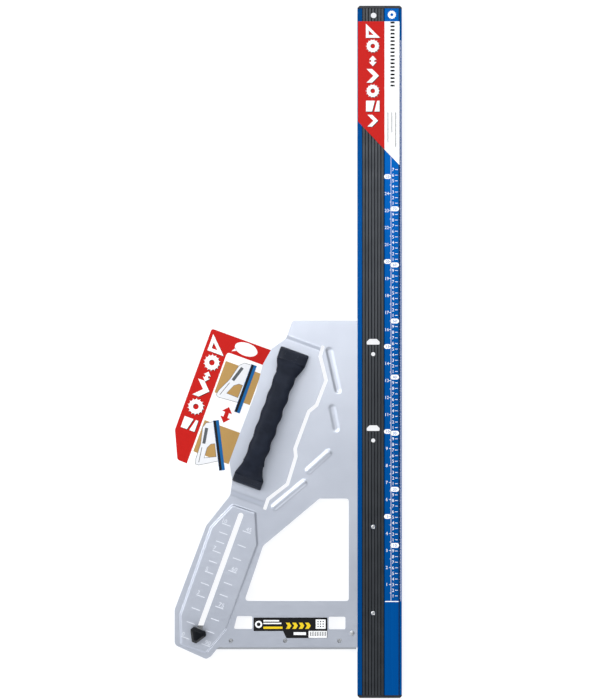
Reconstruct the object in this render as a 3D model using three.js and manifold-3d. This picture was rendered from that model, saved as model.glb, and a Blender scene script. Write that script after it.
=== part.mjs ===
// Adjustable-angle guide for a circular saw: a one-metre guide rail, a pressed aluminium base plate with a
// D-handle, and a fence below the plate that swings from 90 to 45 degrees to the rail.
// Millimetres, +Z up. X runs across the rail and Y along it. Drawings use the rail's left edge as X = 0 and
// the zero line of its rule as Y = 0; the finished group is moved so that its box stands on the origin.
import * as THREE from "three";
import { mergeVertices } from "three/addons/utils/BufferGeometryUtils.js";
import Module from "manifold-3d";

const wasm = await Module();
wasm.setup();

// ---------- driving dimensions ----------

const GAP = 0.3; // clearance kept between neighbouring pieces
const CURVE_STEPS = 3; // segments in a rounded corner
const ROUND_SIDES = 24; // sides of a drawn circle
const BELOW = -5; // cutting tools start under everything
const ABOVE = 120; // and end over everything
const EVERYWHERE_X = [-600, 600];
const EVERYWHERE_Y = [-600, 1200];

// heights
const BOARD_Z = 12; // top of the work, where the rail's pads lie
const PAD_THICK = 0.8;
const FOOT_Z = BOARD_Z + PAD_THICK + GAP; // underside of the rail's legs
const SHEET = 2; // base plate thickness
const PLATE_Z = 18.8; // underside of the base plate
const PLATE_TOP = PLATE_Z + SHEET;
const WEB_Z = PLATE_TOP + GAP; // rail web, lying over the base plate
const WEB_TOP = WEB_Z + 2;
const SLOT_PLATE_RISE = 2.5;
const SLOT_PLATE_SLOPE = 2.5;
const PANEL_RISE = 5;
const SLOT_PLATE_TOP = PLATE_TOP + SLOT_PLATE_RISE;
const PANEL_TOP = PLATE_TOP + PANEL_RISE;
const RIB_WIDTH = 14;
const RIB_SLOPE = 4;
const RELIEF_CUT_WIDTH = 6.4;
const PANEL_JOGGLES = [[-155, -143], [150, 141.5]]; // start and end of each Z-bend, along the handle
const CARD_Z = [21.2, 21.8]; // under the raised panel, clear of the flat plate

// screws and holes
const RIVET_RADIUS = 2.5;
const SCREW_RADIUS = 2;
const RAIL_HOLE_RADIUS = 2.4;
const RAIL_SCREW_TIP = 15.6;
const RAIL_HEAD_Z = [25.2, 26.2]; // bottom of the cross drive, and top of the head
const RAIL_HEAD_RADIUS = 4;
const NUT_HALF = 4;
const NUT_Z = 15.9; // underside of a rail nut
const UNDER_HEAD_Z = 12.3; // lowest face of the pivot, the clamp bolt and the fence screws
const FENCE_SCREW_SEAT = 16.6;
const FENCE_SCREW_TOP = 18.3;
const FENCE_SCREW_HEAD = 3.5; // radius
const OPEN_HOLE_RADIUS = 3.6;
const OPEN_HOLE_IN_PLATE = 5;
const UNDER_STRIP = 0.6; // how far the rail's openings stand back under the strip's
const UNDER_RAIL = 1.5; // and the plate's windows under the rail's
const FENCE_HOLE_RADIUS = 4; // lets a fence screw head be seen, and reached, through the plate
const HANDLE_HOLE_RADIUS = SCREW_RADIUS + GAP;

// guide rail
const RAIL_WIDTH = 79;
const RAIL_NEAR = -172;
const RAIL_FAR = 1062;
const CAP_THICK = 4.5;
const LEG = 3;
const LEG_NOTCH = [-92, 505]; // left leg is cut away where plate and fence pass
const STRIP_X = [8.2, 47];
const STRIP_TOP = 26;
const STRIP_BED = 24.8;
const RIB_COUNT = 7;
const RAIL_HOLE_X = 27.8;
const RAIL_HOLE_PITCH = 154;
const RAIL_HOLE_FIRST = -21;
const WINDOW_RISE = 22; // from a rail hole up to the centre of its window
const HANG_HOLE = [28.6, 1045, 5];

// slanted features: the clamp slot and the handle lean 20 degrees to the right
const LEAN = THREE.MathUtils.degToRad(20);
const ALONG = new THREE.Vector3(Math.sin(LEAN), Math.cos(LEAN), 0);
const ACROSS = new THREE.Vector3(Math.cos(LEAN), -Math.sin(LEAN), 0);
const UP = new THREE.Vector3(0, 0, 1);

// fence and clamp
const PIVOT = [-10, -57.3];
const CLAMP = [-285, -57.3]; // clamp bolt when the fence is square to the rail
const BOLT_RADIUS = 3;
const ARM_SLOT_X = [-294.5, -268.5]; // centres of the round ends of the arm's slot for the clamp bolt
const ARM_SLOT_WIDTH = 11; // wide enough for the bolt wherever the slanted slot carries it
const SLOT_WIDTH = 9.4;
const SLOT_REACH = [-1, 224]; // centres of the slot's two round ends, along the slot
const FENCE_ARM_Z = [15.5, 18.5];
const FENCE_WEB_Y = [-87, -80];
const FENCE_FLANGE_Z = [12.1, 15.2];
const FENCE_SCREW_X = [-226, -129, -32];
const FENCE_SCREW_Y = -71;
const RIVET_SEAT = UNDER_HEAD_Z + 1;
const UNDER_ARM_Z = FENCE_ARM_Z[0] - GAP;

// wing knob
const KNOB_BASE = SLOT_PLATE_TOP + 2.1;
const KNOB_TOP = KNOB_BASE + 22;
const KNOB_SOCKET = 12.3; // depth of the blind socket for the threaded insert
const INSERT_RADIUS = 4;
const WASHER_RADIUS = 8.2;
const LOBE_TURNS = [7, 127, 247]; // degrees
const LOBE_REACH = 15.8; // from the bolt to a lobe's two corners
const LOBE_HALF_ANGLE = 15; // degrees from the middle of a lobe to either corner

// handle, drawn with u across and v along it from its centre
const HANDLE_CENTRE = new THREE.Vector3(-155, 327, 0);
const HANDLE_Z = PANEL_TOP + GAP;
const HANDLE_RISE = 50;
const FOOT_PLANES = [-110.5, 106]; // where the grip meets the lower and the upper foot
const TENON = 5; // reach of the grip into each foot
const HANDLE_SCREWS = [
  [-16, 117],
  [16, 117],
  [-16, -119],
  [16, -119],
];

// ---------- solids ----------

function solidOf(geometry) {
  const bare = geometry.clone();
  bare.deleteAttribute("normal");
  bare.deleteAttribute("uv");
  const merged = mergeVertices(bare, 1e-4);
  return new wasm.Manifold(
    new wasm.Mesh({
      numProp: 3,
      vertProperties: new Float32Array(merged.attributes.position.array),
      triVerts: new Uint32Array(merged.index.array),
    }),
  );
}

function geometryOf(solid) {
  const { vertProperties, triVerts } = solid.getMesh();
  const geometry = new THREE.BufferGeometry()
    .setAttribute("position", new THREE.BufferAttribute(vertProperties, 3))
    .setIndex(new THREE.BufferAttribute(triVerts, 1));
  geometry.computeVertexNormals();
  return geometry;
}

/** A closed outline through corners [x, y, radius]; a corner that gives a radius is rounded. */
function outline(corners) {
  const path = new THREE.Shape();
  const count = corners.length;
  corners.forEach(([x, y, radius = 0], i) => {
    const corner = new THREE.Vector2(x, y);
    const [px, py] = corners[(i + count - 1) % count];
    const [nx, ny] = corners[(i + 1) % count];
    const back = new THREE.Vector2(px, py).sub(corner);
    const ahead = new THREE.Vector2(nx, ny).sub(corner);
    const angle = Math.acos(THREE.MathUtils.clamp(back.dot(ahead) / back.length() / ahead.length(), -1, 1));
    const longest = 0.45 * Math.min(back.length(), ahead.length());
    const run = Math.min(radius / Math.tan(angle / 2), longest);
    const start = corner.clone().add(back.setLength(run || 1e-9));
    if (i === 0) path.moveTo(start.x, start.y);
    else path.lineTo(start.x, start.y);
    if (radius > 0) {
      const end = corner.clone().add(ahead.setLength(run));
      path.quadraticCurveTo(x, y, end.x, end.y);
    }
  });
  path.closePath();
  return path;
}

function circle(x, y, radius, sides = ROUND_SIDES) {
  return Array.from({ length: sides }, (_, i) => {
    const turn = ((i + 0.5) / sides) * 2 * Math.PI;
    return [x + radius * Math.cos(turn), y + radius * Math.sin(turn)];
  });
}

/** A vertical prism on an outline, from height z0 to z1. */
function prism(corners, z0, z1) {
  const geometry = new THREE.ExtrudeGeometry(outline(corners), {
    depth: z1 - z0,
    bevelEnabled: false,
    curveSegments: CURVE_STEPS,
  });
  return solidOf(geometry.translate(0, 0, z0));
}

function slab([x0, x1], [y0, y1], [z0, z1]) {
  return solidOf(new THREE.BoxGeometry(x1 - x0, y1 - y0, z1 - z0)
    .translate((x0 + x1) / 2, (y0 + y1) / 2, (z0 + z1) / 2));
}

function disc([x, y], radius, [z0, z1], sides = ROUND_SIDES) {
  return prism(circle(x, y, radius, sides), z0, z1);
}

/** A turned piece from [radius, z] points that start and end on its axis. */
function turned([x, y], profile, sides = ROUND_SIDES) {
  const points = profile.map(([radius, z]) => new THREE.Vector2(radius, z));
  const geometry = new THREE.LatheGeometry(points, sides).rotateX(Math.PI / 2);
  return solidOf(geometry.translate(x, y, 0));
}

/** A pressed bump that rises from z by a height, or sinks if it is negative, drawn in by the slope. */
function bump(corners, z, height, slope) {
  const sinks = height < 0;
  const drawn = sinks ? corners.map(([x, y, radius]) => [x, -y, radius]) : corners;
  const geometry = new THREE.ExtrudeGeometry(outline(drawn), {
    depth: 1,
    bevelEnabled: true,
    bevelThickness: Math.abs(height),
    bevelSize: slope,
    bevelOffset: -slope,
    bevelSegments: 1,
    curveSegments: CURVE_STEPS,
  });
  geometry.translate(0, 0, -1);
  if (sinks) geometry.rotateX(Math.PI);
  const whole = solidOf(geometry.translate(0, 0, z));
  const reach = sinks ? [BELOW, z + 0.5] : [z - 0.5, ABOVE];
  return whole.intersect(slab(EVERYWHERE_X, EVERYWHERE_Y, reach));
}

/** Corners of a band of the given width along an open line of points. */
function band(points, width) {
  const left = [];
  const right = [];
  points.forEach(([x, y], i) => {
    const before = points[Math.max(i - 1, 0)];
    const after = points[Math.min(i + 1, points.length - 1)];
    const inward = new THREE.Vector2(x - before[0], y - before[1]).normalize();
    const outward = new THREE.Vector2(after[0] - x, after[1] - y).normalize();
    const heading = inward.clone().add(outward).normalize();
    const reach = width / 2 / Math.max(heading.dot(inward.lengthSq() ? inward : outward), 0.5);
    left.push([x - heading.y * reach, y + heading.x * reach, 2]);
    right.unshift([x + heading.y * reach, y - heading.x * reach, 2]);
  });
  return [...left, ...right];
}

function slotBetween([x0, y0], [x1, y1], width, z0, z1) {
  const ends = disc([x0, y0], width / 2, [z0, z1]).add(disc([x1, y1], width / 2, [z0, z1]));
  const heading = new THREE.Vector2(x1 - x0, y1 - y0).normalize().multiplyScalar(width / 2);
  const sides = [
    [x0 - heading.y, y0 + heading.x],
    [x1 - heading.y, y1 + heading.x],
    [x1 + heading.y, y1 - heading.x],
    [x0 + heading.y, y0 - heading.x],
  ];
  return ends.add(prism(sides, z0, z1));
}

function onHandle([u, v, radius = 0]) {
  const point = HANDLE_CENTRE.clone().addScaledVector(ACROSS, u).addScaledVector(ALONG, v);
  return [point.x, point.y, radius];
}

/** A side profile of [v, z] corners, swept across the handle to both sides. */
function sweptAcross(profile, halfWidth) {
  const geometry = new THREE.ExtrudeGeometry(outline(profile), {
    depth: 2 * halfWidth,
    bevelEnabled: false,
    curveSegments: CURVE_STEPS,
  });
  const frame = new THREE.Matrix4().makeBasis(ALONG, UP, ACROSS).setPosition(HANDLE_CENTRE);
  return solidOf(geometry.translate(0, 0, -halfWidth).applyMatrix4(frame));
}

// ---------- materials and the group ----------

function material(color, roughness, metalness) {
  return new THREE.MeshStandardMaterial({ color, roughness, metalness });
}

const SILVER = material(0xb6bbc8, 0.42, 0.9);
const BLUE = material(0x0256aa, 0.35, 0.6);
const DARK_STRIP = material(0x33373a, 0.55, 0.4);
const BLACK_PLASTIC = material(0x1a1c20, 0.5, 0);
const NAVY_PLASTIC = material(0x282d3a, 0.55, 0);
const SOFT_BLACK = material(0x20242e, 0.75, 0);
const STEEL = material(0xc4c6c8, 0.3, 1);
const BRASS = material(0xb59a4c, 0.35, 1);
const PAD_RUBBER = material(0x2b2b2b, 0.9, 0);
const LABEL_RED = material(0xd81e18, 0.4, 0);
const LABEL_BLACK = material(0x16171a, 0.4, 0);
const CARD = material(0xeeece6, 0.7, 0);

const guide = new THREE.Group();
const drawing = new THREE.Group();
guide.add(drawing);

function piece(name, solid, finish) {
  const mesh = new THREE.Mesh(geometryOf(solid), finish);
  mesh.name = name;
  drawing.add(mesh);
}

// ---------- guide rail ----------

const railBody = [RAIL_NEAR + CAP_THICK + GAP, RAIL_FAR - CAP_THICK - GAP];
const railHoles = [0, 1, 2, 3].map((i) => [RAIL_HOLE_X, RAIL_HOLE_FIRST + i * RAIL_HOLE_PITCH]);
const screwHoles = railHoles.slice(0, 2);
const openHoles = railHoles.slice(2);

/** A rail section of [x, z] corners, run along Y. */
function runAlongRail(section, [y0, y1]) {
  const geometry = new THREE.ExtrudeGeometry(outline(section), {
    depth: y1 - y0,
    bevelEnabled: false,
    curveSegments: 2,
  });
  return solidOf(geometry.rotateX(Math.PI / 2).translate(0, y1, 0));
}

/** The window above an open rail hole: flat below, with its upper corners cut off. */
function railWindow([x, y], grow, z0, z1) {
  const half = 11.5 + grow;
  const low = y + WINDOW_RISE - 5 - grow;
  const high = y + WINDOW_RISE + 5 + grow;
  return prism([[x - half, low, 2], [x + half, low, 2], [x + half, high - 5, 1], [x + half - 5, high, 1],
    [x - half + 5, high, 1], [x - half, high - 5, 1]], z0, z1);
}

function guideRail() {
  const section = [
    [0, FOOT_Z], [0, 21.4], [1, 22.4], [7.7, 26], [7.9, WEB_TOP], [47.3, WEB_TOP], [47.5, STRIP_BED],
    [48.5, 25.8], [73, 25.8], [73.4, 24.4], [74.8, 24.4], [75.2, 25], [78.4, 24.2], [RAIL_WIDTH, 23.4],
    [RAIL_WIDTH, FOOT_Z], [RAIL_WIDTH - LEG, FOOT_Z], [RAIL_WIDTH - LEG, 22.4], [50.3, 22.4],
    [50.3, FOOT_Z], [47.3, FOOT_Z], [47.3, WEB_Z], [LEG, WEB_Z], [LEG, FOOT_Z],
  ];
  let rail = runAlongRail(section, railBody);
  rail = rail.subtract(slab([-1, LEG + 1], LEG_NOTCH, [BELOW, WEB_Z]));
  for (const hole of screwHoles) rail = rail.subtract(disc(hole, RAIL_HOLE_RADIUS, [BELOW, ABOVE]));
  for (const hole of openHoles) {
    rail = rail.subtract(disc(hole, OPEN_HOLE_RADIUS + UNDER_STRIP, [BELOW, ABOVE]));
    rail = rail.subtract(railWindow(hole, UNDER_STRIP, BELOW, ABOVE));
  }
  const [x, y, radius] = HANG_HOLE;
  return rail.subtract(disc([x, y], radius + 0.4, [BELOW, ABOVE]));
}

function slideStrip() {
  const [x0, x1] = STRIP_X;
  const pitch = (x1 - x0) / RIB_COUNT;
  const section = [[x0, WEB_TOP + GAP]];
  for (let i = 0; i < RIB_COUNT; i++) {
    const left = x0 + i * pitch;
    section.push([left, STRIP_BED], [left + 0.8, STRIP_TOP], [left + pitch - 0.8, STRIP_TOP]);
  }
  section.push([x1, STRIP_BED], [x1, WEB_TOP + GAP]);
  let strip = runAlongRail(section, railBody);
  for (const hole of screwHoles) strip = strip.subtract(disc(hole, RAIL_HEAD_RADIUS + 0.6, [BELOW, ABOVE]));
  for (const hole of openHoles) {
    strip = strip.subtract(disc(hole, OPEN_HOLE_RADIUS, [BELOW, ABOVE]));
    strip = strip.subtract(railWindow(hole, 0, BELOW, ABOVE));
  }
  const [x, y, radius] = HANG_HOLE;
  return strip.subtract(disc([x, y], radius, [BELOW, ABOVE]));
}

/** An end cap over the whole rail section, its outer corners chamfered. */
function railCap(inner, outer) {
  const chamfer = Math.sign(outer - inner) * 3.5;
  const plan = [[0, inner], [RAIL_WIDTH, inner], [RAIL_WIDTH, outer - chamfer], [RAIL_WIDTH - 3.5, outer],
    [3.5, outer], [0, outer - chamfer]];
  return prism(plan, FOOT_Z, STRIP_TOP);
}

function railPads() {
  const z = [BOARD_Z, BOARD_Z + PAD_THICK];
  piece("rail_pad_middle", slab([47.3, 50.3], railBody, z), PAD_RUBBER);
  piece("rail_pad_right", slab([RAIL_WIDTH - LEG, RAIL_WIDTH], railBody, z), PAD_RUBBER);
  piece("rail_pad_left_near", slab([0, LEG], [railBody[0], LEG_NOTCH[0]], z), PAD_RUBBER);
  piece("rail_pad_left_far", slab([0, LEG], [LEG_NOTCH[1], railBody[1]], z), PAD_RUBBER);
}

function railFasteners() {
  screwHoles.forEach((hole, i) => {
    const [x, y] = hole;
    const [driveZ, headTop] = RAIL_HEAD_Z;
    const profile = [
      [0, RAIL_SCREW_TIP], [SCREW_RADIUS, RAIL_SCREW_TIP], [SCREW_RADIUS, WEB_TOP + GAP],
      [RAIL_HEAD_RADIUS, WEB_TOP + GAP], [RAIL_HEAD_RADIUS, driveZ], [2.6, headTop], [0, headTop],
    ];
    const drive = slab([x - 2, x + 2], [y - 0.4, y + 0.4], [driveZ, ABOVE])
      .add(slab([x - 0.4, x + 0.4], [y - 2, y + 2], [driveZ, ABOVE]));
    piece(`rail_screw_${i + 1}`, turned(hole, profile).subtract(drive), STEEL);
    const nut = slab([x - NUT_HALF, x + NUT_HALF], [y - NUT_HALF, y + NUT_HALF], [NUT_Z, PLATE_Z - GAP]);
    piece(`rail_nut_${i + 1}`, nut.subtract(disc(hole, SCREW_RADIUS + GAP, [BELOW, ABOVE])), STEEL);
  });
}

// ---------- base plate ----------

const PLATE_OUTLINE = [
  [46.5, 500.7], [-116, 500.7, 8], [-127, 469, 14], [-153.6, 450, 12], [-168.8, 423, 16], [-180.9, 375, 40],
  [-212.5, 293, 40], [-228.5, 250, 18], [-223.4, 215, 30], [-227, 189, 16], [-270.2, 134.5, 12],
  [-326.4, -15, 22], [-326.4, -78.4, 10], [-270.2, -103.6, 6], [-262, -99, 6], [-248, -82, 5], [-238, -83, 4],
  [46.5, -83],
];
const BIG_OPENING = [[-68, 183, 4], [-15.5, 183, 6], [-15.5, 0, 5], [-202, 0, 6], [-168.6, 98.6, 10]];
const LEFT_WINDOW = [[-215, -27, 3], [-187.7, -27, 3], [-187.7, -50, 3], [-221, -50, 3]];
const RIGHT_WINDOW = [[-51.5, -28, 3], [-21.5, -28, 3], [-21.5, -50.5, 3], [-51.5, -50.5, 3]];
const SLOT_PLATE = [
  [-223.6, 174, 5], [-180.5, 159.5, 5], [-177, 101, 12], [-233, -51, 14], [-269.5, -94.5, 5],
  [-316.8, -78.4, 5], [-318, -23.4, 16], [-263, 133, 10],
];
const RELIEF_CUT = [
  [-61.4, 456], [-66.5, 437], [-56, 394], [-73, 350], [-87, 338.5], [-111.5, 272], [-110, 258], [-125, 209],
  [-159.6, 182.3], [-166.2, 163],
];
// pressed stiffeners right of the cut: two ends of a centre line, and a height that is negative in a groove
const RIBS = [
  [[-50.5, 447], [-35, 377], -1.8],
  [[-45, 345], [-38, 308], -1.2],
  [[-52, 265], [-87.5, 233], 1.6],
  [[-96, 211.5], [-148, 168], 1.6],
];

/** Corners of a round-ended bar about a rib's centre line. */
function ribCorners([x0, y0], [x1, y1]) {
  const { x: dx, y: dy } = new THREE.Vector2(x1 - x0, y1 - y0).setLength(RIB_WIDTH / 2);
  const radius = RIB_WIDTH / 2;
  return [
    [x0 - dx - dy, y0 - dy + dx, radius],
    [x0 - dx + dy, y0 - dy - dx, radius],
    [x1 + dx + dy, y1 + dy - dx, radius],
    [x1 + dx - dy, y1 + dy + dx, radius],
  ];
}

/** A panel raised between two Z-bends, up to the relief cut on its right: where it lies, and its sheet. */
function handlePanel(outlineTall) {
  const [[lowStart, lowEnd], [highStart, highEnd]] = PANEL_JOGGLES;
  const sheetProfile = [
    [lowStart - 1, PLATE_Z], [lowStart, PLATE_Z],
    [lowEnd, PANEL_TOP - SHEET], [highEnd, PANEL_TOP - SHEET],
    [highStart, PLATE_Z], [highStart + 1, PLATE_Z], [highStart + 1, PLATE_TOP], [highStart, PLATE_TOP],
    [highEnd, PANEL_TOP], [lowEnd, PANEL_TOP], [lowStart, PLATE_TOP], [lowStart - 1, PLATE_TOP],
  ];
  const leftOfCut = prism([...RELIEF_CUT, onHandle([-140, -230]), onHandle([-140, 230])], BELOW, ABOVE);
  const between = (from, to) => prism(
    [[-160, from], [160, from], [160, to], [-160, to]].map(onHandle), BELOW, ABOVE);
  const zone = leftOfCut.intersect(between(lowStart, highStart));
  const sheet = sweptAcross(sheetProfile, 150).intersect(leftOfCut).intersect(outlineTall);
  return { zone, sheet };
}

/** Presses a bump of one sheet thickness into the plate, up or down. */
function press(plate, corners, rise, slope) {
  const above = bump(corners, PLATE_TOP, rise, slope);
  const below = bump(corners, PLATE_Z, rise, slope);
  const beyond = rise > 0 ? [BELOW, PLATE_Z] : [PLATE_TOP, PLATE_TOP + 3];
  const outside = slab(EVERYWHERE_X, EVERYWHERE_Y, beyond);
  return rise > 0
    ? plate.add(above).subtract(below).subtract(outside)
    : plate.add(below).subtract(above).subtract(outside.intersect(prism(corners, BELOW, ABOVE)));
}

function alongSlot(distance) {
  return [CLAMP[0] + ALONG.x * distance, CLAMP[1] + ALONG.y * distance];
}

function basePlate() {
  const outlineTall = prism(PLATE_OUTLINE, BELOW, ABOVE);
  const { zone, sheet } = handlePanel(outlineTall);
  let plate = prism(PLATE_OUTLINE, PLATE_Z, PLATE_TOP).subtract(zone).add(sheet);
  plate = plate.subtract(prism(band(RELIEF_CUT, RELIEF_CUT_WIDTH), BELOW, ABOVE));
  plate = press(plate, SLOT_PLATE, SLOT_PLATE_RISE, SLOT_PLATE_SLOPE);
  for (const [start, end, height] of RIBS) {
    plate = press(plate, ribCorners(start, end), height, RIB_SLOPE);
  }
  for (const opening of [BIG_OPENING, LEFT_WINDOW, RIGHT_WINDOW]) {
    plate = plate.subtract(prism(opening, BELOW, ABOVE));
  }
  const [near, far] = SLOT_REACH.map(alongSlot);
  plate = plate.subtract(slotBetween(near, far, SLOT_WIDTH, BELOW, ABOVE));
  for (const x of FENCE_SCREW_X) {
    plate = plate.subtract(disc([x, FENCE_SCREW_Y], FENCE_HOLE_RADIUS, [BELOW, ABOVE]));
  }
  for (const [u, v] of HANDLE_SCREWS) {
    const [x, y] = onHandle([u, v]);
    plate = plate.subtract(disc([x, y], HANDLE_HOLE_RADIUS, [BELOW, ABOVE]));
  }
  for (const hole of screwHoles) plate = plate.subtract(disc(hole, RAIL_HOLE_RADIUS, [BELOW, ABOVE]));
  for (const hole of openHoles) {
    plate = plate.subtract(disc(hole, OPEN_HOLE_IN_PLATE, [BELOW, ABOVE]));
    plate = plate.subtract(railWindow(hole, UNDER_RAIL, BELOW, ABOVE));
  }
  return plate.subtract(disc(PIVOT, RIVET_RADIUS + GAP, [BELOW, ABOVE]));
}

// ---------- handle ----------

/** The whole handle as one form: a D-shaped side view cut to a flared plan. */
function handleForm() {
  const base = HANDLE_Z;
  const side = [
    [-127.5, base], [-127.5, base + 15, 5], [-100, base + 41, 22], [-70, base + 47, 40],
    [0, base + HANDLE_RISE, 60], [70, base + 47, 40], [98, base + 41, 22], [127.5, base + 15, 5],
    [127.5, base], [106, base], [104, base + 7, 6], [78, base + 25, 12], [-80, base + 25, 12],
    [-108, base + 7, 6], [-110.5, base],
  ];
  const plan = [
    [27, -127.5, 4], [27, -110, 5], [18, -90, 14], [17.5, 0], [17.5, 80, 14], [27, 105, 5], [27, 127.5, 4],
    [-27, 127.5, 4], [-27, 105, 5], [-19.6, 82, 14], [-19.6, -90, 14], [-27, -110, 5], [-27, -127.5, 4],
  ];
  return sweptAcross(side, 40).intersect(prism(plan.map(onHandle), BELOW, ABOVE));
}

/** Everything between two stations along the handle, a given half width to each side. */
function stretch(half, from, to) {
  return prism([[-half, from], [half, from], [half, to], [-half, to]].map(onHandle), BELOW, ABOVE);
}

/** The grip and the two feet that its tenons plug into, each foot held from below by two screws. */
function handlePieces() {
  const form = handleForm();
  const [low, high] = FOOT_PLANES;
  const tenons = (grow) => stretch(13 + grow, high - 2.5, high + TENON + grow)
    .add(stretch(13 + grow, low - TENON - grow, low + 2.5))
    .intersect(slab(EVERYWHERE_X, EVERYWHERE_Y, [HANDLE_Z + 8 - grow, HANDLE_Z + 20 + grow]));
  const grip = form.intersect(stretch(40, low + GAP, high - GAP)).add(tenons(0));
  let feet = form.subtract(stretch(40, low, high)).subtract(tenons(GAP));
  HANDLE_SCREWS.forEach(([u, v], i) => {
    const [x, y] = onHandle([u, v]);
    feet = feet.subtract(disc([x, y], HANDLE_HOLE_RADIUS, [BELOW, HANDLE_Z + 9], 16));
    const seat = PLATE_Z + PANEL_RISE - GAP;
    const tip = HANDLE_Z + 8.5;
    const profile = [
      [0, seat - 2], [3.6, seat - 2], [3.6, seat], [SCREW_RADIUS, seat], [SCREW_RADIUS, tip], [0, tip],
    ];
    piece(`handle_screw_${i + 1}`, turned([x, y], profile, 16), STEEL);
  });
  piece("handle_grip", grip, SOFT_BLACK);
  piece("handle_foot_upper", feet.intersect(stretch(40, 0, 200)), NAVY_PLASTIC);
  piece("handle_foot_lower", feet.intersect(stretch(40, -200, 0)), NAVY_PLASTIC);
}

// ---------- fence, swinging under the plate ----------

function fenceArm() {
  const plan = [
    [-312, -83, 3], [-2.5, -83, 3], [0, -60, 4], [-2, -47, 6], [-18, -46, 6], [-20.5, -53.5, 3],
    [-228, -53.5, 3], [-232, -44, 6], [-300, -44, 8], [-312, -56, 8],
  ];
  let arm = prism(plan, ...FENCE_ARM_Z);
  const [slotNear, slotFar] = ARM_SLOT_X.map((x) => [x, CLAMP[1]]);
  arm = arm.subtract(slotBetween(slotNear, slotFar, ARM_SLOT_WIDTH, BELOW, ABOVE));
  arm = arm.subtract(disc(PIVOT, RIVET_RADIUS + GAP, [BELOW, ABOVE]));
  for (const x of FENCE_SCREW_X) {
    arm = arm.subtract(disc([x, FENCE_SCREW_Y], SCREW_RADIUS, [BELOW, ABOVE]));
    arm = arm.subtract(disc([x, FENCE_SCREW_Y], FENCE_SCREW_HEAD + GAP, [FENCE_SCREW_SEAT, ABOVE]));
  }
  return arm;
}

/** The angle that bears on the edge of the work, relieved under its flange. */
function fenceRail() {
  const [outerY, faceY] = FENCE_WEB_Y;
  const [flangeZ, flangeTop] = FENCE_FLANGE_Z;
  const web = slab([-300, -2], FENCE_WEB_Y, [0, flangeTop]);
  const relief = slab([-301, -1], [faceY - 0.8, faceY + 1], [flangeZ - 1.1, flangeZ]);
  const flange = slab([-252, -2], [outerY + 2, -64], [flangeZ, flangeTop]);
  let rail = web.subtract(relief).add(flange);
  for (const x of FENCE_SCREW_X) {
    rail = rail.subtract(disc([x, FENCE_SCREW_Y], SCREW_RADIUS, [BELOW, ABOVE]));
  }
  return rail;
}

function fenceScrews() {
  const shank = SCREW_RADIUS - GAP;
  const seat = FENCE_SCREW_SEAT + GAP;
  const profile = [
    [0, UNDER_HEAD_Z], [shank, UNDER_HEAD_Z], [shank, seat], [FENCE_SCREW_HEAD, seat],
    [FENCE_SCREW_HEAD, FENCE_SCREW_TOP], [0, FENCE_SCREW_TOP],
  ];
  FENCE_SCREW_X.forEach((x, i) => {
    piece(`fence_screw_${i + 1}`, turned([x, FENCE_SCREW_Y], profile, 16), STEEL);
  });
}

// ---------- pivot and clamp ----------

function pivotRivet() {
  const head = 4.5;
  return turned(PIVOT, [
    [0, UNDER_HEAD_Z], [head, UNDER_HEAD_Z], [head, RIVET_SEAT], [RIVET_RADIUS, RIVET_SEAT],
    [RIVET_RADIUS, WEB_Z], [head, WEB_Z], [4.3, 22.2], [3, 23.1], [0, 23.5],
  ]);
}

/** A flat ring between two heights. */
function ring(centre, outer, inner, z) {
  return disc(centre, outer, z).subtract(disc(centre, inner, [BELOW, ABOVE]));
}

function clampBolt() {
  const head = 7.5;
  const tip = KNOB_BASE + KNOB_SOCKET - 1.3;
  return turned(CLAMP, [
    [0, UNDER_HEAD_Z], [head, UNDER_HEAD_Z], [head, UNDER_ARM_Z],
    [BOLT_RADIUS, UNDER_ARM_Z], [BOLT_RADIUS, tip], [0, tip],
  ]);
}

/** A wing knob, a triangle with its corners cut off, with a blind socket for its threaded insert. */
function clampKnob() {
  const [x, y] = CLAMP;
  const stem = turned(CLAMP, [[0, KNOB_BASE], [8.6, KNOB_BASE], [9.4, KNOB_BASE + 7], [8.6, KNOB_TOP - 3],
    [6.4, KNOB_TOP], [0, KNOB_TOP]]);
  const corners = LOBE_TURNS.flatMap((degrees) => [-LOBE_HALF_ANGLE, LOBE_HALF_ANGLE].map((offset) => {
    const turn = THREE.MathUtils.degToRad(degrees + offset);
    return [x + LOBE_REACH * Math.cos(turn), y + LOBE_REACH * Math.sin(turn), 2];
  }));
  const knob = stem.add(prism(corners, KNOB_BASE + 5, KNOB_TOP - 2.5));
  return knob.subtract(disc(CLAMP, INSERT_RADIUS + GAP, [BELOW, KNOB_BASE + KNOB_SOCKET]));
}

// ---------- labels and card ----------

function railLabel() {
  const plan = [[0.6, 1034], [0.6, 855.7], [48, 805.5], [74.6, 778], [74.6, 1034]];
  return prism(plan, STRIP_TOP + GAP, STRIP_TOP + GAP + 0.4);
}

function plateLabel() {
  const plan = [[-185.5, -29.5, 1], [-53.8, -29.5, 1], [-53.8, -66, 1], [-127, -66, 1], [-133, -53.4],
    [-185.5, -53.4, 1]];
  return prism(plan, PLATE_TOP + GAP, PLATE_TOP + GAP + 0.4);
}

/** The card's right edge goes in under the raised handle panel, which carries it. */
function displayCard() {
  const plan = [
    [-154, 114.5, 5], [-30, 114.5], [-30, -128], [-114, -128, 5], [-133, -126, 8], [-154.5, -76, 6],
  ];
  return prism(plan.map(onHandle), ...CARD_Z);
}

// ---------- assembly ----------

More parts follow.
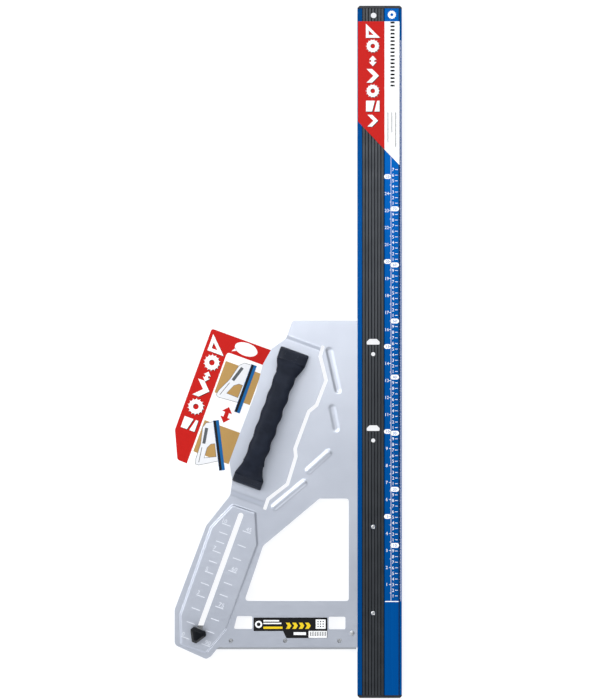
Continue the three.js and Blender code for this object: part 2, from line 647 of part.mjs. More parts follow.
piece("guide_rail", guideRail(), BLUE);
piece("slide_strip", slideStrip(), DARK_STRIP);
piece("rail_cap_near", railCap(RAIL_NEAR + CAP_THICK, RAIL_NEAR), BLACK_PLASTIC);
piece("rail_cap_far", railCap(RAIL_FAR - CAP_THICK, RAIL_FAR), BLACK_PLASTIC);
railPads();
railFasteners();
piece("base_plate", basePlate(), SILVER);
handlePieces();
piece("fence_arm", fenceArm(), STEEL);
piece("fence_rail", fenceRail(), SILVER);
fenceScrews();
piece("pivot_rivet", pivotRivet(), STEEL);
piece("pivot_washer", ring(PIVOT, 6, RIVET_RADIUS + GAP, [RIVET_SEAT + GAP, UNDER_ARM_Z]), STEEL);
piece("clamp_bolt", clampBolt(), STEEL);
const washerZ = [SLOT_PLATE_TOP + GAP, KNOB_BASE - GAP];
piece("knob_washer", ring(CLAMP, WASHER_RADIUS, BOLT_RADIUS + GAP, washerZ), STEEL);
const insertZ = [KNOB_BASE + GAP, KNOB_BASE + KNOB_SOCKET - GAP - 0.1];
piece("knob_insert", ring(CLAMP, INSERT_RADIUS, BOLT_RADIUS + GAP, insertZ), BRASS);
piece("clamp_knob", clampKnob(), BLACK_PLASTIC);
piece("rail_label", railLabel(), LABEL_RED);
piece("plate_label", plateLabel(), LABEL_BLACK);
piece("display_card", displayCard(), CARD);

const box = new THREE.Box3().setFromObject(drawing);
const middle = box.getCenter(new THREE.Vector3());
drawing.position.set(-middle.x, -middle.y, -box.min.z);

export default guide;
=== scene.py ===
import math

import bmesh
import bpy
import numpy as np
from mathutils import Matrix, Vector
from mathutils.geometry import delaunay_2d_cdt


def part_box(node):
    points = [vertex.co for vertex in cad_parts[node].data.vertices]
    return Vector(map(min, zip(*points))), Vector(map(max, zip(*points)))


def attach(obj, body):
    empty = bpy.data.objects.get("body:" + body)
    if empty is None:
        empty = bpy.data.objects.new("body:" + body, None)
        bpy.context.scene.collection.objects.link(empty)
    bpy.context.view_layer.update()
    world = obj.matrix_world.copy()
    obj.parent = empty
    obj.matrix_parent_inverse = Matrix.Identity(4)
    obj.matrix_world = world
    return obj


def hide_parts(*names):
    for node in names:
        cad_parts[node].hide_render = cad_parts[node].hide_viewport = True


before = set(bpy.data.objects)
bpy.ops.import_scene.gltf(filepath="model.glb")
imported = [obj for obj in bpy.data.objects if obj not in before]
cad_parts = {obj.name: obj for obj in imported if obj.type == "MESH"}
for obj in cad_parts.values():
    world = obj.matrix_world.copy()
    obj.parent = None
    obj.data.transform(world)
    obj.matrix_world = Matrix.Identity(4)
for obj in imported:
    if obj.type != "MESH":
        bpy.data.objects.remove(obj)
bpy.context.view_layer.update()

# The looks of an adjustable-angle circular-saw guide: a blue guide rail with its rule, a pressed aluminium
# plate with a D-handle, and a fence below that swings and is clamped by a wing knob.
# Drawings are in millimetres, with X from the rail's left edge and Y from the zero line of its rule.

MM = 0.001
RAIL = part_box("guide_rail")
RAIL_NEAR = -172.0
RAIL_FAR = 1062.0
RAIL_WIDTH = 79.0
ORIGIN = Vector((RAIL[0][0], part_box("rail_cap_near")[0][1] - RAIL_NEAR * MM, 0))


def at(x, y, z):
    """A point of the drawing, in the frame's metres."""
    return ORIGIN + Vector((x, y, z)) * MM


def z_top(node):
    """Height of a node's highest point, in millimetres."""
    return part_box(node)[1][2] / MM


# ---------- heights, read from the frame ----------

SHEET = 2.0
PANEL_RISE = 5.0
PLATE_TOP = z_top("base_plate") - PANEL_RISE
SLOT_PLATE_RISE = 2.5
PANEL_TOP = PLATE_TOP + PANEL_RISE
SLOT_PLATE_TOP = PLATE_TOP + SLOT_PLATE_RISE
SCALE_FACE = 25.8
GROOVE_FLOOR = 24.4
CARD_TOP = z_top("display_card")

# ---------- slanted features ----------

LEAN = math.radians(20)
ALONG = np.array((math.sin(LEAN), math.cos(LEAN)))
ACROSS = np.array((math.cos(LEAN), -math.sin(LEAN)))
HANDLE_CENTRE = np.array((-155.0, 327.0))
CLAMP = np.array((-285.0, -57.3))
PIVOT = np.array((-10.0, -57.3))


def on_handle(u, v):
    """Drawing point at u across and v along the handle."""
    return HANDLE_CENTRE + ACROSS * u + ALONG * v


def on_slot(side, distance):
    """Drawing point beside the clamp slot, at a distance along it from the square setting."""
    return CLAMP + ACROSS * side + ALONG * distance


# ---------- materials ----------


class Finish:
    """A Principled material with short ways to add procedural detail."""

    def __init__(self, name, color, roughness, metallic=0.0, **sockets):
        self.material = bpy.data.materials.new(name)
        self.material.use_nodes = True
        self.nodes = self.material.node_tree.nodes
        self.links = self.material.node_tree.links
        self.shader = self.nodes["Principled BSDF"]
        self.color = (*color, 1.0)
        self.roughness = roughness
        self.set("Base Color", self.color)
        self.set("Roughness", roughness)
        self.set("Metallic", metallic)
        for socket, value in sockets.items():
            self.set(socket.replace("_", " "), value)
        self.coords = self.nodes.new("ShaderNodeTexCoord").outputs["Object"]

    def set(self, socket, value):
        self.shader.inputs[socket].default_value = value

    def node(self, kind, **values):
        made = self.nodes.new(kind)
        for key, value in values.items():
            if key in made.inputs:
                made.inputs[key].default_value = value
            else:
                setattr(made, key, value)
        return made

    def link(self, source, target):
        self.links.new(source, target)

    def stretched(self, scale, turn=0.0):
        """Object coordinates scaled unevenly, for brushed or drawn grain."""
        mapping = self.node("ShaderNodeMapping")
        mapping.inputs["Scale"].default_value = scale
        mapping.inputs["Rotation"].default_value = (0, 0, turn)
        self.link(self.coords, mapping.inputs["Vector"])
        return mapping.outputs["Vector"]

    def noise(self, scale, detail=3.0, coords=None):
        made = self.node("ShaderNodeTexNoise", Scale=scale, Detail=detail)
        self.link(coords or self.coords, made.inputs["Vector"])
        return made.outputs["Fac"]

    def ramp(self, source, low, high, start=0.3, end=0.7):
        made = self.node("ShaderNodeMapRange")
        for key, value in zip(("From Min", "From Max", "To Min", "To Max"), (start, end, low, high)):
            made.inputs[key].default_value = value
        self.link(source, made.inputs["Value"])
        return made.outputs["Result"]

    def vary_color(self, source, dark, light, start=0.35, end=0.65):
        made = self.node("ShaderNodeValToRGB")
        made.color_ramp.elements[0].position = start
        made.color_ramp.elements[0].color = (*dark, 1)
        made.color_ramp.elements[1].position = end
        made.color_ramp.elements[1].color = (*light, 1)
        self.link(source, made.inputs["Fac"])
        self.link(made.outputs["Color"], self.shader.inputs["Base Color"])

    def vary_roughness(self, source, low, high):
        self.link(self.ramp(source, low, high), self.shader.inputs["Roughness"])

    def bump(self, source, strength, distance):
        made = self.node("ShaderNodeBump", Strength=strength, Distance=distance)
        self.link(source, made.inputs["Height"])
        self.link(made.outputs["Normal"], self.shader.inputs["Normal"])


def pressed_aluminium():
    """Fine satin anodised sheet, with faint rolling grain and slow changes of gloss."""
    finish = Finish("pressed_aluminium", (0.63, 0.66, 0.73), 0.40, 0.9)
    grain = finish.noise(1.0, 4.0, finish.stretched((60, 1400, 60), LEAN))
    finish.vary_color(finish.noise(9.0), (0.555, 0.59, 0.665), (0.605, 0.64, 0.715))
    finish.vary_roughness(grain, 0.34, 0.47)
    finish.bump(finish.noise(2600.0, 2.0), 0.12, 0.00008)
    return finish.material


def blue_anodised():
    """Saturated blue extrusion, with die lines drawn along its length and painted shade that darkens its
    slopes facing left.
    """
    finish = Finish("blue_anodised", (0.0005, 0.085, 0.34), 0.30, 0.35, Specular_IOR_Level=0.02)
    lines = finish.noise(1.0, 5.0, finish.stretched((2600, 3, 2600)))
    finish.vary_color(lines, (0.0005, 0.078, 0.32), (0.0005, 0.094, 0.365))
    # painted shade: the base colour drops to 0.62 of itself on faces whose normals point left, as if they
    # were turned away from the light
    axes = finish.node("ShaderNodeSeparateXYZ")
    finish.link(finish.nodes.new("ShaderNodeTexCoord").outputs["Normal"], axes.inputs["Vector"])
    left_slope_painted_shade = finish.ramp(axes.outputs["X"], 0.62, 1.0, -0.40, -0.20)
    shade = finish.node("ShaderNodeVectorMath")
    shade.operation = "SCALE"
    source = finish.shader.inputs["Base Color"].links[0].from_socket
    finish.link(source, shade.inputs[0])
    finish.link(left_slope_painted_shade, shade.inputs["Scale"])
    finish.link(shade.outputs["Vector"], finish.shader.inputs["Base Color"])
    finish.vary_roughness(lines, 0.24, 0.36)
    finish.bump(lines, 0.10, 0.00006)
    return finish.material


def dark_anodised():
    """Dark grey ribbed strip, worn slightly lighter on its ribs."""
    finish = Finish("dark_anodised", (0.050, 0.055, 0.062), 0.38, 0.9, Specular_IOR_Level=0.1)
    lines = finish.noise(1.0, 5.0, finish.stretched((1800, 6, 1800)))
    finish.vary_color(lines, (0.042, 0.047, 0.053), (0.070, 0.075, 0.082))
    finish.vary_roughness(finish.noise(40.0), 0.36, 0.50)
    finish.bump(finish.noise(1800.0, 2.0), 0.2, 0.0001)
    return finish.material


def moulded(name, color, roughness, grain_scale, grain_depth, gloss=0.35):
    """Moulded plastic or rubber, with a fine spark-eroded grain."""
    finish = Finish(name, color, roughness, Specular_IOR_Level=gloss)
    lighter = tuple(min(1.0, part * 1.35 + 0.002) for part in color)
    finish.vary_color(finish.noise(55.0), color, lighter)
    finish.vary_roughness(finish.noise(160.0), roughness - 0.06, roughness + 0.08)
    finish.bump(finish.noise(grain_scale, 2.0), 0.35, grain_depth)
    return finish.material


def metal(name, color, low, high, scale=(900, 900, 30)):
    """Bare metal with a drawn grain that moves its roughness between low and high."""
    finish = Finish(name, color, (low + high) / 2, 1.0)
    grain = finish.noise(1.0, 4.0, finish.stretched(scale))
    finish.vary_color(grain, tuple(part * 0.9 for part in color), color)
    finish.vary_roughness(grain, low, high)
    finish.bump(grain, 0.08, 0.00005)
    return finish.material


def print_ink(name, color, roughness=0.45):
    """Printed ink or film: nearly flat, with a faint mottle and the film's slight waviness."""
    finish = Finish(name, color, roughness, Specular_IOR_Level=0.12)
    finish.vary_color(finish.noise(300.0), tuple(part * 0.975 for part in color), color)
    finish.bump(finish.noise(25.0), 0.06, 0.0003)
    return finish.material


SILVER = pressed_aluminium()
BLUE = blue_anodised()
STRIP = dark_anodised()
CAP_BLACK = moulded("cap_black", (0.012, 0.013, 0.016), 0.42, 900.0, 0.0002)
FOOT_NAVY = moulded("foot_navy", (0.005, 0.008, 0.017), 0.22, 1200.0, 0.00004, 0.22)
GRIP_SOFT = moulded("grip_soft", (0.007, 0.010, 0.019), 0.50, 1500.0, 0.0002, 0.14)
KNOB_BLACK = moulded("knob_black", (0.002, 0.003, 0.005), 0.20, 1200.0, 0.00004, 0.20)
PAD = moulded("pad_rubber", (0.02, 0.02, 0.02), 0.8, 1500.0, 0.0002)
STEEL = metal("zinc_steel", (0.62, 0.63, 0.64), 0.26, 0.42)
FENCE_SILVER = metal("fence_silver", (0.56, 0.58, 0.61), 0.34, 0.46, (3, 1400, 1400))
BRASS = metal("turned_brass", (0.56, 0.40, 0.14), 0.22, 0.36)
WHITE_INK = print_ink("white_ink", (0.97, 0.98, 0.98))
ETCHED = print_ink("etched_mark", (0.80, 0.83, 0.90), 0.6)
BLUE_INK = print_ink("blue_ink", (0.004, 0.10, 0.42))
RED_INK = print_ink("red_ink", (0.53, 0.009, 0.006))
BLACK_INK = print_ink("black_ink", (0.010, 0.010, 0.011))
YELLOW_INK = print_ink("yellow_ink", (0.85, 0.60, 0.02))
TAN_INK = print_ink("tan_ink", (0.47, 0.285, 0.095))
GREY_INK = print_ink("grey_ink", (0.10, 0.11, 0.12))
PALE_INK = print_ink("pale_ink", (0.80, 0.81, 0.83))
SKY_INK = print_ink("sky_ink", (0.008, 0.12, 0.34))
CARD_WHITE = print_ink("card_white", (0.98, 0.98, 0.97), 0.55)


# ---------- mesh helpers ----------


def rounded(corners, steps=7):
    """Points of a closed outline whose corners (x, y, radius) are rounded as the CAD rounds them."""
    points = []
    count = len(corners)
    for i, corner in enumerate(corners):
        here = np.array(corner[:2], float)
        radius = corner[2] if len(corner) > 2 else 0.0
        back = np.array(corners[i - 1][:2], float) - here
        ahead = np.array(corners[(i + 1) % count][:2], float) - here
        if radius == 0:
            points.append(here)
            continue
        back_length, ahead_length = np.linalg.norm(back), np.linalg.norm(ahead)
        angle = math.acos(np.clip(back @ ahead / back_length / ahead_length, -1, 1))
        run = min(radius / math.tan(angle / 2), 0.45 * min(back_length, ahead_length))
        start = here + back / back_length * run
        end = here + ahead / ahead_length * run
        for step in range(steps + 1):
            t = step / steps
            points.append((1 - t) ** 2 * start + 2 * t * (1 - t) * here + t * t * end)
    return [tuple(point) for point in points]


def ring_points(centre, radius, sides=40):
    turns = [2 * math.pi * i / sides for i in range(sides)]
    return [(centre[0] + radius * math.cos(t), centre[1] + radius * math.sin(t)) for t in turns]


def band(points, width):
    """Corners of a band along an open line, as the CAD draws it."""
    left, right = [], []
    for i, point in enumerate(points):
        here = np.array(point, float)
        before = np.array(points[max(i - 1, 0)], float)
        after = np.array(points[min(i + 1, len(points) - 1)], float)
        unit = [step / (np.linalg.norm(step) or 1.0) for step in (here - before, after - here)]
        heading = (unit[0] + unit[1]) / np.linalg.norm(unit[0] + unit[1])
        along = unit[0] if i else unit[1]
        reach = width / 2 / max(heading @ along, 0.5)
        normal = np.array((-heading[1], heading[0])) * reach
        left.append((*(here + normal), 2))
        right.insert(0, (*(here - normal), 2))
    return left + right


def capsule(start, end, width, steps=10):
    """A closed outline round a segment with round ends."""
    start, end = np.array(start, float), np.array(end, float)
    heading = math.atan2(*(end - start)[::-1])
    points = []
    for centre, turn in ((end, heading - math.pi / 2), (start, heading + math.pi / 2)):
        for i in range(steps + 1):
            angle = turn + math.pi * i / steps
            points.append((centre[0] + width / 2 * math.cos(angle), centre[1] + width / 2 * math.sin(angle)))
    return points


def add_object(name, mesh, material, body, smooth=True):
    made = bpy.data.objects.new(name, mesh)
    bpy.context.scene.collection.objects.link(made)
    made.data.materials.append(material)
    for face in made.data.polygons:
        face.use_smooth = smooth
    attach(made, body)
    return made


def bevelled(obj, width, angle=30, segments=2):
    made = obj.modifiers.new("bevel", "BEVEL")
    made.width = width * MM
    made.segments = segments
    made.limit_method = "ANGLE"
    made.angle_limit = math.radians(angle)
    made.harden_normals = False
    return obj


def shade_by_angle(obj, angle=35):
    """Smooth faces that meet sharp edges wherever they turn by more than the angle."""
    for face in obj.data.polygons:
        face.use_smooth = True
    edges = bmesh.new()
    edges.from_mesh(obj.data)
    for edge in edges.edges:
        edge.smooth = len(edge.link_faces) == 2 and edge.calc_face_angle(0) < math.radians(angle)
    edges.to_mesh(obj.data)
    edges.free()
    return obj


def segment_distance(points, start, end):
    start, end = np.array(start, float), np.array(end, float)
    along = end - start
    t = np.clip(((points - start) @ along) / (along @ along), 0, 1)
    return np.linalg.norm(points - start - t[:, None] * along, axis=1)


def depth_inside(points, loop):
    """Distance to the loop, positive inside it."""
    distance = np.full(len(points), 1e9)
    inside = np.zeros(len(points), bool)
    for a, b in zip(loop, [*loop[1:], loop[0]]):
        distance = np.minimum(distance, segment_distance(points, a, b))
        crosses = (a[1] > points[:, 1]) != (b[1] > points[:, 1])
        if a[1] != b[1]:
            reach = a[0] + (points[:, 1] - a[1]) * (b[0] - a[0]) / (b[1] - a[1])
            inside ^= crosses & (points[:, 0] < reach)
    return np.where(inside, distance, -distance)


def triangulated(loops, extra=()):
    """Points and triangles inside the first loop and outside the others, through the extra points too."""
    points, edges = [], []
    for loop in loops:
        first = len(points)
        points += [Vector(point) for point in loop]
        edges += [(first + i, first + (i + 1) % len(loop)) for i in range(len(loop))]
    points += [Vector(point) for point in extra]
    found, _, triangles = delaunay_2d_cdt(points, edges, [], 1, 1e-7)[:3]
    found = np.array([tuple(point) for point in found])
    triangles = np.array([tuple(triangle) for triangle in triangles])
    middles = found[triangles].mean(axis=1)
    kept = depth_inside(middles, loops[0]) > 0
    for hole in loops[1:]:
        kept &= depth_inside(middles, hole) < 0
    return found, [tuple(int(i) for i in triangle) for triangle in triangles[kept]]


def slab_mesh(name, shapes, z0, z1):
    """A mesh of thin closed slabs; each shape is a list of loops, the first one outer."""
    made = bmesh.new()
    for loops in shapes:
        points, triangles = triangulated(loops)
        low = [made.verts.new(at(*point, z0)) for point in points]
        high = [made.verts.new(at(*point, z1)) for point in points]
        uses = {}
        for triangle in triangles:
            made.faces.new([high[i] for i in triangle])
            made.faces.new([low[i] for i in reversed(triangle)])
            for a, b in zip(triangle, (*triangle[1:], triangle[0])):
                uses[(a, b)] = True
        for a, b in uses:
            if (b, a) not in uses:
                made.faces.new((low[a], low[b], high[b], high[a]))
    mesh = bpy.data.meshes.new(name)
    made.to_mesh(mesh)
    made.free()
    return mesh


PRINT_LIFT = 0.02
NUMBER_LIFT = 0.03
PRINT_THICK = 0.05


def printed(name, shapes, z, material, thick=PRINT_THICK):
    """Printed or stuck-on shapes on the frame, as closed slabs standing a hair above height z."""
    mesh = slab_mesh(name, shapes, z + PRINT_LIFT, z + PRINT_LIFT + thick)
    return add_object(name, mesh, material, "frame", False)


# ---------- camera, floor and light ----------

CAMERA_HEIGHT = 3.0
CAMERA_OVER = (0.0121, 0.0033)
FRAME_HEIGHT = 1.25
FLOOR_HALF_SIZE = 6
FLOOR_GAP = 0.0005
SKY_COLOR = (0.94, 0.96, 1.0, 1)
SKY_BRIGHT_WAY = (-0.92, 0.25, -0.80)
SKY_STRENGTH = {"From Min": -0.9, "From Max": -0.2, "To Min": 0.40, "To Max": 0.98}
LIGHTS = {  # place, target, size and power
    "key": ((-1.6, 0.3, 1.9), (-0.05, 0.0, 0), (0.5, 0.5), 15),
    "softbox": ((-0.1, 0.75, 2.7), (0.0, 0.2, 0), (2.4, 1.1), 22.5),
    "far_fill": ((-0.2, 2.3, 1.3), (-0.15, -0.1, 0), (1.6, 0.8), 9),
    "near_fill": ((0.9, -1.9, 1.3), (-0.15, -0.45, 0), (0.9, 0.7), 8),
}


def camera():
    data = bpy.data.cameras.new("camera")
    data.sensor_width = 36
    data.lens = data.sensor_width * CAMERA_HEIGHT / FRAME_HEIGHT
    made = bpy.data.objects.new("camera", data)
    made.location = (*CAMERA_OVER, CAMERA_HEIGHT + PLATE_TOP * MM)
    bpy.context.scene.collection.objects.link(made)
    bpy.context.scene.camera = made


def floor():
    made = bmesh.new()
    bmesh.ops.create_grid(made, x_segments=1, y_segments=1, size=FLOOR_HALF_SIZE)
    mesh = bpy.data.meshes.new("floor")
    made.to_mesh(mesh)
    made.free()
    finish = Finish("pale_floor", (0.22, 0.22, 0.22), 0.8, Specular_IOR_Level=0.0)
    finish.set("Emission Color", (0.97, 0.98, 1.0, 1))
    finish.set("Emission Strength", 0.86)
    finish.bump(finish.noise(60.0), 0.03, 0.0005)
    obj = bpy.data.objects.new("floor", mesh)
    obj.data.materials.append(finish.material)
    obj.location.z = -FLOOR_GAP
    bpy.context.scene.collection.objects.link(obj)


def area_light(name, place, target, size, power):
    data = bpy.data.lights.new(name, "AREA")
    data.shape = "RECTANGLE"
    data.size, data.size_y = size
    data.energy = power
    made = bpy.data.objects.new(name, data)
    made.location = place
    made.rotation_euler = (Vector(target) - Vector(place)).to_track_quat("-Z", "Y").to_euler()
    bpy.context.scene.collection.objects.link(made)


def lighting():
    """Soft studio light: a sky that dims high up on the right, a key on the left, a softbox and two fills."""
    world = bpy.data.worlds.new("studio")
    world.use_nodes = True
    nodes, links = world.node_tree.nodes, world.node_tree.links
    background = nodes["Background"]
    facing = nodes.new("ShaderNodeVectorMath")
    facing.operation = "DOT_PRODUCT"
    links.new(nodes.new("ShaderNodeTexCoord").outputs["Generated"], facing.inputs[0])
    facing.inputs[1].default_value = SKY_BRIGHT_WAY
    side = nodes.new("ShaderNodeMapRange")
    for socket, value in SKY_STRENGTH.items():
        side.inputs[socket].default_value = value
    links.new(facing.outputs["Value"], side.inputs["Value"])
    links.new(side.outputs["Result"], background.inputs["Strength"])
    background.inputs["Color"].default_value = SKY_COLOR
    bpy.context.scene.world = world
    for name, (place, target, size, power) in LIGHTS.items():
        area_light(name, place, target, size, power)
    bpy.context.scene.view_settings.view_transform = "Standard"


# ---------- base plate ----------

PLATE_OUTLINE = [
    (46.5, 500.7), (-116, 500.7, 8), (-127, 469, 14), (-153.6, 450, 12), (-168.8, 423, 16), (-180.9, 375, 40),
    (-212.5, 293, 40), (-228.5, 250, 18), (-223.4, 215, 30), (-227, 189, 16), (-270.2, 134.5, 12),
    (-326.4, -15, 22), (-326.4, -78.4, 10), (-270.2, -103.6, 6), (-262, -99, 6), (-248, -82, 5),
    (-238, -83, 4), (46.5, -83),
]
BIG_OPENING = [(-68, 183, 4), (-15.5, 183, 6), (-15.5, 0, 5), (-202, 0, 6), (-168.6, 98.6, 10)]
LEFT_WINDOW = [(-215, -27, 3), (-187.7, -27, 3), (-187.7, -50, 3), (-221, -50, 3)]
RIGHT_WINDOW = [(-51.5, -28, 3), (-21.5, -28, 3), (-21.5, -50.5, 3), (-51.5, -50.5, 3)]
SLOT_PLATE = [
    (-223.6, 174, 5), (-180.5, 159.5, 5), (-177, 101, 12), (-233, -51, 14), (-269.5, -94.5, 5),
    (-316.8, -78.4, 5), (-318, -23.4, 16), (-263, 133, 10),
]
RELIEF_CUT = [
    (-61.4, 456), (-66.5, 437), (-56, 394), (-73, 350), (-87, 338.5), (-111.5, 272), (-110, 258), (-125, 209),
    (-159.6, 182.3), (-166.2, 163),
]
RELIEF_CUT_WIDTH = 6.4
SLOT_END = 224
SLOT_WIDTH = 9.4
# pressed stiffeners right of the cut: two ends of a centre line, and a height that is negative in a groove
RIBS = [
    ((-50.5, 447), (-35, 377), -1.8),
    ((-45, 345), (-38, 308), -1.2),
    ((-52, 265), (-87.5, 233), 1.6),
    ((-96, 211.5), (-148, 168), 1.6),
]
RIB_HALF_WIDTH = 7.5
RIB_SLOPE = 6.0
SLOT_PLATE_SLOPE = 4.0
# where the raised panel starts and ends along the handle, and how long its joggles are
PANEL_NEAR, PANEL_NEAR_SLOPE = -155, 12
PANEL_FAR, PANEL_FAR_SLOPE = 150, 8.5
RAIL_HOLES = [(27.8, -21 + 154 * i) for i in range(4)]
FENCE_HOLES = [(x, -71) for x in (-226, -129, -32)]
HANDLE_HOLES = [on_handle(u, v) for u in (-16, 16) for v in (117, -119)]
FENCE_HOLE_RADIUS = 4
HANDLE_HOLE_RADIUS = 2.3
NUT_HOLE_RADIUS = 2.4
OPEN_HOLE_RADIUS = 5
PIVOT_HOLE_RADIUS = 2.8
WINDOW_MARGIN = 1.5


def smooth_step(t):
    t = np.clip(t, 0, 1)
    return t * t * (3 - 2 * t)


def plate_relief(points):
    """Height of the pressed sheet above its flat level, at drawing points."""
    height = SLOT_PLATE_RISE * smooth_step(depth_inside(points, rounded(SLOT_PLATE)) / SLOT_PLATE_SLOPE)
    for start, end, rise in RIBS:
        height += rise * smooth_step((RIB_HALF_WIDTH - segment_distance(points, start, end)) / RIB_SLOPE)
    offset = points - HANDLE_CENTRE
    u, v = offset @ ACROSS, offset @ ALONG
    from_centre = np.array(RELIEF_CUT) - HANDLE_CENTRE
    cut = np.stack((from_centre @ ALONG, from_centre @ ACROSS), 1)
    cut = cut[np.argsort(cut[:, 0])]
    on_panel = (u < np.interp(v, cut[:, 0], cut[:, 1])) & (v > PANEL_NEAR - 1) & (v < PANEL_FAR + 2)
    rise = PANEL_RISE * smooth_step((v - PANEL_NEAR) / PANEL_NEAR_SLOPE)
    rise *= smooth_step((PANEL_FAR - v) / PANEL_FAR_SLOPE)
    return height + np.where(on_panel, rise, 0)


def divided(loop, step):
    """The loop with its long edges cut into short ones."""
    fine = []
    for a, b in zip(loop, [*loop[1:], loop[0]]):
        a, b = np.array(a), np.array(b)
        count = max(1, int(np.linalg.norm(b - a) / step))
        fine += [tuple(a + (b - a) * i / count) for i in range(count)]
    return fine


def slope_points(loop, reach, step=2.2):
    """Points on rings inside and just outside a loop, where the sheet turns."""
    made = []
    for a, b in zip(loop, [*loop[1:], loop[0]]):
        a, b = np.array(a), np.array(b)
        length = np.linalg.norm(b - a)
        if length < 1e-6:
            continue
        inward = np.array((-(b - a)[1], (b - a)[0])) / length
        for i in range(max(1, int(length / step))):
            base = a + (b - a) * (i + 0.5) / max(1, int(length / step))
            made += [base + inward * offset for offset in np.linspace(-reach - 0.6, reach + 0.6, 13)]
    return made


def rail_window(hole):
    """Corners of the sheet's window round the rail's own window beside an open hole."""
    x, y = hole
    half, low, high = 11.5 + WINDOW_MARGIN, y + 17 - WINDOW_MARGIN, y + 27 + WINDOW_MARGIN
    return [(x - half, low, 2), (x + half, low, 2), (x + half, high - 5, 1), (x + half - 5, high, 1),
            (x - half + 5, high, 1), (x - half, high - 5, 1)]


def base_plate():
    """The pressed sheet: cut outline and holes, with the relief in smooth bends."""
    loops = [rounded(PLATE_OUTLINE)]
    loops += [rounded(corners) for corners in (BIG_OPENING, LEFT_WINDOW, RIGHT_WINDOW)]
    loops.append(rounded(band(RELIEF_CUT, RELIEF_CUT_WIDTH), 4))
    loops.append(capsule(on_slot(0, -1), on_slot(0, SLOT_END), SLOT_WIDTH))
    loops += [ring_points(hole, FENCE_HOLE_RADIUS, 28) for hole in FENCE_HOLES]
    loops += [ring_points(hole, HANDLE_HOLE_RADIUS, 16) for hole in HANDLE_HOLES]
    loops += [ring_points(hole, NUT_HOLE_RADIUS, 16) for hole in RAIL_HOLES[:2]]
    loops += [ring_points(hole, OPEN_HOLE_RADIUS, 24) for hole in RAIL_HOLES[2:]]
    loops += [rounded(rail_window(hole), 3) for hole in RAIL_HOLES[2:]]
    loops.append(ring_points(PIVOT, PIVOT_HOLE_RADIUS, 20))
    fine_loops = [divided(loop, 3.0) for loop in loops]
    low, high = np.min(fine_loops[0], axis=0), np.max(fine_loops[0], axis=0)
    grid = np.stack(np.meshgrid(np.arange(low[0] + 2, high[0], 4.0), np.arange(low[1] + 2, high[1], 4.0)), -1)
    extra = [grid.reshape(-1, 2)]
    extra.append(np.array(slope_points(rounded(SLOT_PLATE), SLOT_PLATE_SLOPE)))
    for start, end, _ in RIBS:
        extra.append(np.array(slope_points(capsule(start, end, 2 * RIB_HALF_WIDTH), RIB_SLOPE)))
    for v0, v1 in ((PANEL_NEAR - 1, PANEL_NEAR + 13), (PANEL_FAR - 9.5, PANEL_FAR + 1)):
        stations = np.linspace(v0, v1, 15)
        extra.append(np.array([on_handle(u, v) for u in np.arange(-60, 60, 3.0) for v in stations]))
    extra = np.concatenate(extra)
    clear = depth_inside(extra, [tuple(p) for p in loops[0]]) > 0.8
    for loop in loops[1:]:
        clear &= depth_inside(extra, loop) < -0.8
    flat, triangles = triangulated(fine_loops, extra[clear])
    height = PLATE_TOP + plate_relief(flat)
    mesh = bpy.data.meshes.new("pressed_plate")
    mesh.from_pydata([at(*p, z) for p, z in zip(flat, height)], [], triangles)
    made = add_object("pressed_plate", mesh, SILVER, "frame")
    thick = made.modifiers.new("thickness", "SOLIDIFY")
    thick.thickness = SHEET * MM
    thick.offset = -1
    bevelled(made, 0.3, 60, 2)
    made.modifiers.new("flat faces", "WEIGHTED_NORMAL").weight = 90
    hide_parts("base_plate")


# ---------- pieces shown as the CAD made them ----------


def dress_cad():
    """Finishes for the CAD nodes that stay in view."""
    finishes = {
        "guide_rail": (BLUE, 0.35), "slide_strip": (STRIP, 0.25), "rail_cap_near": (CAP_BLACK, 0.5),
        "rail_cap_far": (CAP_BLACK, 0.5), "rail_pad_middle": (PAD, 0.15), "rail_pad_right": (PAD, 0.15),
        "rail_pad_left_near": (PAD, 0.15), "rail_pad_left_far": (PAD, 0.15), "rail_nut_1": (STEEL, 0.3),
        "rail_nut_2": (STEEL, 0.3), "fence_arm": (STEEL, 0.3), "fence_rail": (FENCE_SILVER, 0.4),
        "pivot_washer": (STEEL, 0.2), "clamp_bolt": (STEEL, 0.4), "knob_washer": (STEEL, 0.25),
        "knob_insert": (BRASS, 0.2), "pivot_rivet": (STEEL, 0.2), "rail_label": (RED_INK, 0.0),
        "plate_label": (BLACK_INK, 0.0), "display_card": (CARD_WHITE, 0.0),
    }
    finishes.update({f"handle_screw_{number}": (STEEL, 0.2) for number in (1, 2, 3, 4)})
    for name, (material, width) in finishes.items():
        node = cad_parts[name]
        node.data.materials.clear()
        node.data.materials.append(material)
        if width:
            bevelled(node, width, 25)


# ---------- handle ----------


# the handle by distance along it from its middle: heights above the panel, and reach to each side
HANDLE_TOP = {
    -127.5: 13, -122: 20, -100: 37, -84: 43.5, -60: 48, 0: 50, 60: 48, 82: 43.5, 98: 37.5, 122: 20, 127.5: 13,
}
HANDLE_UNDER = {
    -110.4: 0.6, -108: 6, -92: 17, -80: 23.4, -68: 25, 68: 25, 78: 23.4, 90: 17, 104: 6, 106: 0.6,
}
HANDLE_LEFT = {
    -127.5: 27, -110: 27, -102: 24.5, -90: 20.4, -80: 19.4, 80: 19.4, 92: 21, 100: 24.5, 106: 26.6,
    127.5: 26.6,
}
HANDLE_RIGHT = {
    -127.5: 27, -110: 27, -102: 22, -90: 18.2, -80: 17.2, 74: 17.2, 86: 19, 98: 24, 106: 26.6, 127.5: 26.6,
}
FINGER_PITCH = 31
FIRST_SWELL = 8
SWELLS_REACH = 84
HANDLE_GAP = 0.3


def measure(table, v):
    """A measure of the handle at a distance along it, from its table."""
    return np.interp(v, list(table), list(table.values()))


